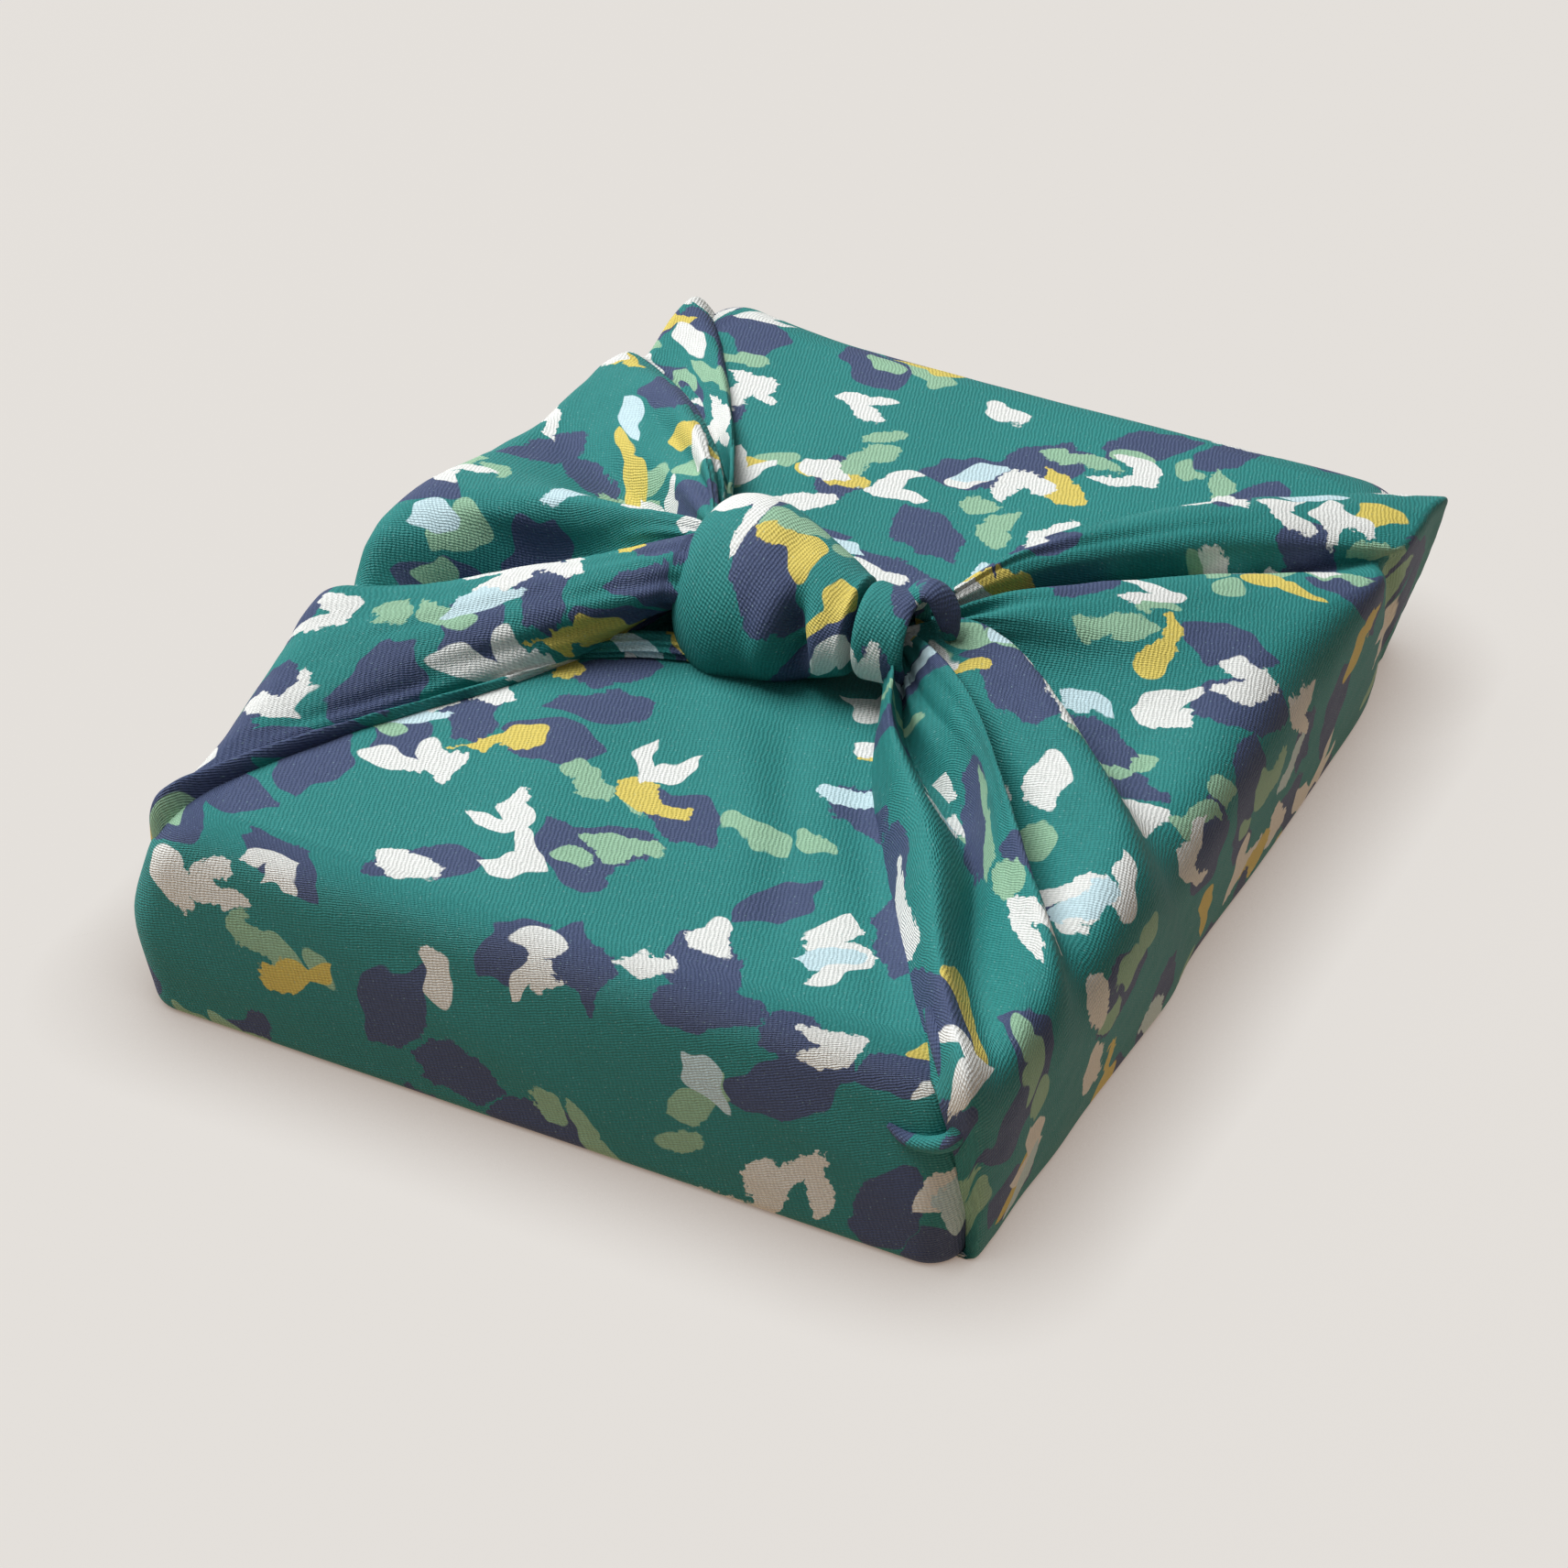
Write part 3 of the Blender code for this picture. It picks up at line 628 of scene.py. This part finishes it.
def printed_cotton(colours):
    """Cotton twill with a scattered print of leaves, buds and pebbles."""
    if "cotton_print" in bpy.data.materials:
        return bpy.data.materials["cotton_print"]
    material = bpy.data.materials.new("cotton_print")
    material.use_nodes = True
    n = Nodes(material)
    surface = material.node_tree.nodes["Principled BSDF"]
    uv = n.add("ShaderNodeUVMap", uv_map=CLOTH_UV)
    plain = n.vector("SCALE", uv.outputs[0], scale=1 / MM)

    # A hand-drawn wobble, and a ragged edge like dry ink
    wobble = n.vector("SUBTRACT", n.noise(plain, 0.07, 1.0, True), (0.5, 0.5, 0.5))
    ragged = n.vector("SUBTRACT", n.noise(plain, 0.45, 3.0, True), (0.5, 0.5, 0.5))
    dry = n.math("MULTIPLY", n.fall(n.noise(plain, 0.021, 0.0), 0.5, 0.05), RAGGED_EDGE)
    place = n.vector("ADD", plain, n.vector("SCALE", wobble, scale=WOBBLE))
    ragged = n.vector("SCALE", ragged, scale=n.math("ADD", dry, STEADY_EDGE))
    place = n.vector("SCALE", n.vector("ADD", place, ragged), scale=1 / colours.motif_scale)

    worn = [c * WORN_GROUND for c in colours.ground]
    colour = n.mix(n.noise(plain, 0.012, 1.0), (*colours.ground, 1), (*worn, 1))
    colour = printed_motifs(n, place, colour, colours)

    weave, grain = twill(n, plain, colours)
    shade = n.math("MULTIPLY_ADD", weave, 0.14, n.math("MULTIPLY_ADD", grain, 0.34, 0.83))
    tone = n.add("ShaderNodeCombineXYZ")
    for socket in tone.inputs:
        n.link(shade, socket)
    colour = speckled(n, plain, n.mix(1.0, colour, tone.outputs[0], "MULTIPLY"))
    n.link(colour, surface.inputs["Base Color"])

    rough = n.math("MULTIPLY_ADD", grain, 0.14, 0.54)
    n.link(rough, surface.inputs["Roughness"])
    surface.inputs["Specular IOR Level"].default_value = 0.24
    surface.inputs["Sheen Weight"].default_value = 0.03
    surface.inputs["Sheen Roughness"].default_value = 0.45
    surface.inputs["Sheen Tint"].default_value = (0.72, 0.95, 0.92, 1)

    bump = n.add("ShaderNodeBump")
    bump.inputs["Strength"].default_value = 0.75
    bump.inputs["Distance"].default_value = 0.00022
    n.link(n.math("ADD", weave, n.math("MULTIPLY", grain, 1.2)), bump.inputs["Height"])
    n.link(bump.outputs[0], surface.inputs["Normal"])
    return material


def body_outline(z, inset, radius, per_corner=12, per_side=70):
    """One level of the wrapped box: a rounded rectangle whose front side flares to the table."""
    right, back = WIDTH / 2 - inset, DEPTH / 2 - inset
    front = back + FRONT_FLARE * (1 - z / HEIGHT)
    arcs = []
    for x, y, start in ((right, -front, 270), (right, back, 0),
                        (-right, back, 90), (-right, -front, 180)):
        cx, cy = x - math.copysign(radius, x), y - math.copysign(radius, y)
        arcs.append([np.array([cx + radius * math.cos(a), cy + radius * math.sin(a), z])
                     for a in np.radians(np.linspace(start, start + 90, per_corner))])
    ring = []
    for arc, following in zip(arcs, arcs[1:] + arcs[:1]):
        ring += arc
        ring += [(1 - s) * arc[-1] + s * following[0] for s in np.linspace(0, 1, per_side)[1:-1]]
    ring = np.array(ring)
    to_left = (0.5 - ring[:, 0] / WIDTH).clip(0, 1)
    to_back = (ring[:, 1] / DEPTH + 0.5).clip(0, 1)
    ring[:, 1] += BACK_PULL * to_left ** 6 * to_back ** 4
    ring[:, 0] -= CORNER_BULGE * to_left ** 4 * (1 - to_back) ** 4 * math.sin(math.pi * z / HEIGHT)
    return ring


def crease_height(x, y):
    """Height of the soft ridges and troughs of the smooth top at x, y."""
    height = np.zeros_like(x)
    for x0, y0, x1, y1, width, rise in TOP_CREASES:
        dx, dy = x1 - x0, y1 - y0
        length = math.hypot(dx, dy)
        t = ((x - x0) * dx + (y - y0) * dy) / length ** 2
        off = ((x - x0) * dy - (y - y0) * dx) / length
        ends = (1 / (1 + np.exp(-(t - CREASE_TIP) * CREASE_SOFTNESS))
                / (1 + np.exp((t - (1 - CREASE_TIP)) * CREASE_SOFTNESS)))
        height += rise * ends * np.exp(-(off / width) ** 2)
    for rise, size, seed in TOP_WAVES:
        height = height + rise * wave_noise(x, y, size, seed)
    return height


def body_rings():
    """Rings from the middle of the underside, up the sides, to the middle of the top.

    Also gives the numbers of the ring at the table and of the ring at the rim of the top.
    """
    rings = [body_outline(max(z, UNDER_GAP), inset, radius)
             for z, inset, radius in smooth_curve(BODY_LEVELS, LEVEL_STEPS)]
    under, top = rings[0], rings[-1]
    below = [np.column_stack([under[:, :2] * k, np.full(len(under), UNDER_GAP)])
             for k in UNDER_SCALES]
    centre = top.mean(axis=0)
    cap = []
    for scale in np.concatenate([np.linspace(*row) for row in TOP_SCALES]):
        ring = centre + (top - centre) * scale
        ring[:, 2] = HEIGHT + CROWN * (1 - scale ** 2)
        cap.append(ring)
    return np.array(below + rings + cap), len(below), len(below) + len(rings) - 1


def along_sides(ring, girth):
    """How far each point of a ring lies from the middle of the front or back, round the box."""
    front = ring[:, 1] < 0
    distance = np.zeros(len(ring))
    for half, sign in ((front, 1), (~front, -1)):
        order = np.where(half)[0]
        angles = [-sign * math.atan2(-sign * ring[k, 0], -sign * ring[k, 1]) for k in order]
        order = order[np.argsort(angles)]
        steps = np.linalg.norm(np.diff(girth[order], axis=0), axis=1)
        run = np.concatenate([[0], np.cumsum(steps)])
        distance[order] = run - np.interp(0, *zip(*sorted(zip(girth[order, 0], run))))
        if np.corrcoef(distance[order], ring[order, 0])[0, 1] < 0:
            distance[order] *= -1
    return distance


def body_uv(grid, foot, rim):
    """Cloth coordinates: plain x, y on top; down the sides the arc length carries on."""
    steps = np.linalg.norm(np.diff(grid[:rim + 1], axis=0), axis=2)
    down = np.cumsum(steps[::-1], axis=0)[::-1]
    ring = grid[rim]
    away = np.where(ring[:, 1] < 0, -1, 1)
    outward = away * down
    blend = np.clip(down / EDGE_BLEND, 0, 1)[..., None]
    blend = blend * blend * (3 - 2 * blend)
    round_box = along_sides(ring, grid[foot + GIRTH_RING])
    sides = np.stack([np.broadcast_to(round_box, down.shape),
                      away * np.abs(ring[:, 1]).max() + outward], axis=2)
    plain = np.stack([np.broadcast_to(ring[:, 0], down.shape), ring[:, 1] + outward], axis=2)
    uv = grid[..., :2].copy()
    uv[:rim] = plain * (1 - blend) + sides * blend
    return uv


def body_grid():
    """The smooth cloth all round the box, with its soft creases and its cloth coordinates."""
    grid, foot, rim = body_rings()
    uv = body_uv(grid, foot, rim)
    x, y, z = grid[..., 0], grid[..., 1], grid[..., 2]
    z += crease_height(x, y) * np.clip((z - TOP_FROM) / TOP_FADE, 0, 1)
    rise, size, seed = SIDE_WAVE
    swell = rise * wave_noise(x + 2 * z, y - 1.5 * z, size, seed)
    middle = np.clip(z / SIDE_FADE, 0, 1) * np.clip((SIDE_UP_TO - z) / SIDE_FADE, 0, 1)
    plan = grid[..., :2]
    outwards = plan / np.maximum(np.linalg.norm(plan, axis=2, keepdims=True), 1)
    plan += outwards * (swell * middle)[..., None]
    return np.swapaxes(grid, 0, 1), np.swapaxes(uv, 0, 1)


def oval_ring(section, count, folds=(), slant=0.0):
    """One slanted oval cross-section of the knot."""
    x, cy, cz, long, short, lean = section
    t = math.radians(lean)
    ring = []
    for a in np.linspace(0, 2 * math.pi, count, endpoint=False):
        u, v = long * math.cos(a), short * math.sin(a)
        for at, angle, width, spread, depth in folds:
            turn = (math.degrees(a) - angle + 180) % 360 - 180
            pull = 1 - depth / long * math.exp(-((x - at) / width) ** 2 - (turn / spread) ** 2)
            u, v = u * pull, v * pull
        y, z = u * math.cos(t) - v * math.sin(t), u * math.sin(t) + v * math.cos(t)
        ring.append((x + slant * u / long, cy + y, cz + z))
    return np.array(ring)


def knot_grid(count=160):
    """The soft hood of the knot, as a closed tube along the tie."""
    sections = smooth_curve(KNOT_SECTIONS, 9)
    grid = np.array([oval_ring(s, count, KNOT_FOLDS) for s in sections])
    return np.swapaxes(grid, 0, 1)


def collar_grid(count=140):
    """The strap round the right end of the knot, rolled inwards at both rims."""
    rows = smooth_curve([(x, *COLLAR_CENTRE, long, short, COLLAR_LEAN)
                         for x, long, short in COLLAR_SECTIONS], 8)
    grid = np.array([oval_ring(s, count, slant=COLLAR_SLANT) for s in rows])
    return np.swapaxes(grid, 0, 1)


def swept_grid(rows, count=72, steps=10, ribs=0.0):
    """Rings round a curved strip, with its half width across and its half thickness upright."""
    path = smooth_curve(rows, steps)
    rings = []
    for k, (x, y, z, wide, thick) in enumerate(path):
        along = path[min(k + 1, len(path) - 1), :3] - path[max(k - 1, 0), :3]
        along /= np.linalg.norm(along)
        across = np.cross((0, 0, 1), along)
        across /= np.linalg.norm(across)
        upright = np.cross(along, across)
        ring = []
        for a in np.linspace(0, 2 * math.pi, count, endpoint=False):
            swell = 1 + ribs * math.cos(RIBS_ROUND * a)
            ring.append(np.array([x, y, z]) + wide * swell * math.cos(a) * across
                        + thick * swell * math.sin(a) * upright)
        rings.append(ring)
    return np.swapaxes(np.array(rings), 0, 1)


def ring_uv(grid, offset):
    """Cloth coordinates of a closed strip: its mean girth one way, its length the other."""
    girth = np.linalg.norm(np.diff(grid, axis=0), axis=2).sum(axis=0).mean()
    step = np.linalg.norm(np.diff(grid, axis=1), axis=2).mean(axis=0)
    run = np.concatenate([[0], np.cumsum(step)])
    turn = np.arange(grid.shape[0]) / grid.shape[0] * girth
    across, along = np.meshgrid(turn, run, indexing="ij")
    return np.stack([along + offset[0], across + offset[1]], axis=2)


def tint(name, description, default, brightest=1.0):
    """A colour that a user can change."""
    return bpy.props.FloatVectorProperty(name=name, description=description, subtype="COLOR",
                                         default=default, min=0.0, max=brightest)


class WrapCloth(bpy.types.PropertyGroup):
    """The cloth: its thickness, its weave and the colours of its print."""
    thickness: bpy.props.FloatProperty(
        name="Thickness", description="Thickness of the cotton cloth", default=0.0007,
        min=0.0002, max=0.003, unit="LENGTH")
    motif_scale: bpy.props.FloatProperty(
        name="Motif scale", description="Size of the printed motifs", default=1.16, min=0.3,
        max=4.0)
    rib_pitch: bpy.props.FloatProperty(
        name="Rib pitch", description="Distance between twill ribs, in millimetres", default=0.8,
        min=0.3, max=4.0)
    weft_pitch: bpy.props.FloatProperty(
        name="Weft pitch", description="Distance between weft yarns, in millimetres", default=1.25,
        min=0.3, max=4.0)
    ground: tint("Ground", "Deep green ground", (0.026, 0.240, 0.222))
    navy: tint("Navy", "Navy of the broad leaves", (0.062, 0.082, 0.165))
    sage: tint("Sage", "Sage green of the sprigs", (0.30, 0.50, 0.33))
    yellow: tint("Yellow", "Yellow of the buds", (0.70, 0.55, 0.12))
    cream: tint("Cream", "Off-white of the twin leaves", (0.80, 0.79, 0.75))
    pale_blue: tint("Pale blue", "Pale blue of the narrow leaves", (0.56, 0.72, 0.76))


class WrapStage(bpy.types.PropertyGroup):
    """The surface, the light and the camera."""
    floor: tint("Surface", "Pale surface that the wrap lies on", (0.66, 0.66, 0.65))
    floor_glow: tint("Surface glow", "Evened-out brightness of the surface", (0.776, 0.742, 0.704))
    shadow_depth: bpy.props.FloatProperty(
        name="Shadow depth", description="How strongly the surface takes shadows", default=0.03,
        min=0.0, max=1.0, subtype="FACTOR")
    contact_reach: bpy.props.FloatProperty(
        name="Contact reach", description="Reach of the soft shadow at the foot of the cloth",
        default=0.04, min=0.0, unit="LENGTH")
    # Colour of the painted shadow in the surface's glow, right at the cloth
    painted_contact_shadow: tint("Contact tint", "Warm brown of the surface right at the cloth",
                       (0.16, 0.09, 0.05))
    key: bpy.props.FloatProperty(
        name="Window light", description="Power of the large window-like light", default=146.0,
        min=0.0, unit="POWER")
    sky: bpy.props.FloatProperty(
        name="Sky", description="Even light from above", default=0.095, min=0.0)
    sky_side: bpy.props.FloatProperty(
        name="Sky side", description="Extra light from the bright side", default=0.27, min=0.0)
    bounce: bpy.props.FloatProperty(
        name="Bounce", description="Warm light from below", default=0.52, min=0.0)
    cool: tint("Daylight", "Colour of the light from above", (0.97, 1.0, 1.02), 2.0)
    warm: tint("Warm bounce", "Colour of the light from below", (1.0, 0.68, 0.40), 2.0)
    lens: bpy.props.FloatProperty(
        name="Lens", description="Focal length of the camera", default=94.6, min=10.0,
        unit="CAMERA")


def pale_surface(stage):
    """The evened-out surface below, with a soft warm shadow painted into its glow where the cloth
    meets it.
    """
    half = FLOOR_HALF
    mesh = bpy.data.meshes.new("surface")
    mesh.from_pydata([(-half, -half, 0), (half, -half, 0), (half, half, 0), (-half, half, 0)],
                     [], [(0, 1, 2, 3)])
    floor = bpy.data.objects.new("surface", mesh)
    bpy.context.scene.collection.objects.link(floor)
    paper = bpy.data.materials.new("pale_surface")
    paper.use_nodes = True
    skin = paper.node_tree.nodes["Principled BSDF"]
    share = stage.shadow_depth
    n = Nodes(paper)
    # Near the cloth, ambient occlusion mixes the glow towards the warm brown: a painted contact
    # shadow
    contact = n.add("ShaderNodeAmbientOcclusion", samples=8)
    contact.inputs["Distance"].default_value = stage.contact_reach
    glow = n.mix(contact.outputs["AO"], (*stage.painted_contact_shadow, 1), (*stage.floor_glow, 1))
    n.link(glow, skin.inputs["Emission Color"])
    skin.inputs["Emission Strength"].default_value = 1 - share
    skin.inputs["Base Color"].default_value = (*[c * share for c in stage.floor], 1)
    skin.inputs["Roughness"].default_value = 1.0
    skin.inputs["Specular IOR Level"].default_value = 0.0
    mesh.materials.append(paper)
    floor.visible_diffuse = False


def soft_surroundings(stage):
    """Cool light from above, strongest on one side, and a warm bounce from below."""
    world = bpy.data.worlds.new("soft_surroundings")
    world.use_nodes = True
    n = Nodes(world)
    ray = n.add("ShaderNodeTexCoord").outputs["Generated"]
    towards = n.math("MAXIMUM", n.vector("DOT_PRODUCT", ray, SKY_SIDE), 0.0)
    bright = n.math("MULTIPLY_ADD", n.math("POWER", towards, 2.0), stage.sky_side, stage.sky)
    below = n.fall(n.split(ray)[2], 0.0, HORIZON)
    above = n.math("SUBTRACT", 1.0, below)
    strength = n.math("ADD", n.math("MULTIPLY", above, bright),
                      n.math("MULTIPLY", below, stage.bounce))
    background = world.node_tree.nodes["Background"]
    n.link(n.mix(above, (*stage.warm, 1), (*stage.cool, 1)), background.inputs["Color"])
    n.link(strength, background.inputs["Strength"])
    bpy.context.scene.world = world


def window_light(stage):
    """One large soft light, turned towards the wrap."""
    data = bpy.data.lights.new("window", "AREA")
    data.shape, data.size, data.energy, data.color = "SQUARE", WINDOW_SIDE, stage.key, stage.cool
    light = bpy.data.objects.new("window", data)
    light.location = WINDOW_PLACE
    light.rotation_euler = (-light.location).to_track_quat("-Z", "Y").to_euler()
    bpy.context.scene.collection.objects.link(light)


def camera_view(stage):
    """The camera, at the photograph's angle."""
    turn, tilt, roll = (math.radians(a) for a in (CAMERA_TURN, CAMERA_TILT, CAMERA_ROLL))
    back = np.array([math.sin(turn) * math.cos(tilt), -math.cos(turn) * math.cos(tilt),
                     math.sin(tilt)])
    right = np.array([math.cos(turn), math.sin(turn), 0.0])
    up = np.cross(back, right)
    right, up = (math.cos(roll) * right + math.sin(roll) * up,
                 math.cos(roll) * up - math.sin(roll) * right)
    data = bpy.data.cameras.new("view")
    data.lens, data.sensor_width, data.clip_start = stage.lens, FILM_WIDTH, 0.01
    camera = bpy.data.objects.new("view", data)
    rows = np.column_stack([right, up, back, CAMERA_PLACE])
    camera.matrix_world = Matrix([*rows.tolist(), (0, 0, 0, 1)])
    bpy.context.scene.collection.objects.link(camera)
    bpy.context.scene.camera = camera


class WRAP_OT_flaps(bpy.types.Operator):
    """The cloth laid smoothly round the box: underside, both flaps and the sides"""
    bl_idname = "wrap.flaps"
    bl_label = "Smooth flaps"

    def execute(self, context):
        grid, uv = body_grid()
        declare(make_sheet(FLAPS, grid, uv, closed=True))
        return {"FINISHED"}


class WRAP_OT_bundles(bpy.types.Operator):
    """The two side corners of the cloth, gathered into fans of pleats"""
    bl_idname = "wrap.bundles"
    bl_label = "Gathered bundles"

    def execute(self, context):
        for name, *shape in BUNDLES:
            grid = bundle_grid(*shape)
            declare(make_sheet(name, grid, bundle_uv(grid)))
        return {"FINISHED"}


class WRAP_OT_knot(bpy.types.Operator):
    """The knot with its soft hood and the strap round its right end"""
    bl_idname = "wrap.knot"
    bl_label = "Knot and collar"

    def execute(self, context):
        add_strip("knot_hood", knot_grid(), KNOT_OFFSET)
        add_strip("collar", collar_grid(), COLLAR_OFFSET)
        return {"FINISHED"}


class WRAP_OT_ends(bpy.types.Operator):
    """The tip on the collar, the dark strand by the left roll, and the curl at the front corner"""
    bl_idname = "wrap.ends"
    bl_label = "Tucked ends and corner curl"

    def execute(self, context):
        for name, rows, offset, ribs in SMALL_STRIPS:
            add_strip(name, swept_grid(rows, ribs=ribs), offset)
        return {"FINISHED"}


class WRAP_OT_stage(bpy.types.Operator):
    """The pale surface, the soft window-like light and the camera"""
    bl_idname = "wrap.stage"
    bl_label = "Surface, light and camera"

    def execute(self, context):
        context.scene.view_settings.view_transform = "Standard"
        for make in (pale_surface, soft_surroundings, window_light, camera_view):
            make(context.scene.wrap_stage)
        return {"FINISHED"}


class WRAP_PT_panel(bpy.types.Panel):
    """Lists the cloth and stage settings with the buttons that make each piece"""
    bl_idname = "WRAP_PT_panel"
    bl_label = "Furoshiki wrap"
    bl_space_type = "VIEW_3D"
    bl_region_type = "UI"
    bl_category = "Wrap"

    def draw(self, context):
        for group in (context.scene.wrap_cloth, context.scene.wrap_stage):
            for key in group.__annotations__:
                self.layout.prop(group, key)
        for operator in OPERATORS:
            self.layout.operator(operator.bl_idname)


OPERATORS = (WRAP_OT_flaps, WRAP_OT_bundles, WRAP_OT_knot, WRAP_OT_ends, WRAP_OT_stage)
CLASSES = (WrapCloth, WrapStage, *OPERATORS, WRAP_PT_panel)


def register():
    for cls in CLASSES:
        bpy.utils.register_class(cls)
    bpy.types.Scene.wrap_cloth = bpy.props.PointerProperty(type=WrapCloth)
    bpy.types.Scene.wrap_stage = bpy.props.PointerProperty(type=WrapStage)


def unregister():
    del bpy.types.Scene.wrap_stage
    del bpy.types.Scene.wrap_cloth
    for cls in reversed(CLASSES):
        bpy.utils.unregister_class(cls)


def main():
    register()
    bpy.ops.wrap.flaps()
    bpy.ops.wrap.bundles()
    bpy.ops.wrap.knot()
    bpy.ops.wrap.ends()
    bpy.ops.wrap.stage()


if __name__ == "__main__":
    main()
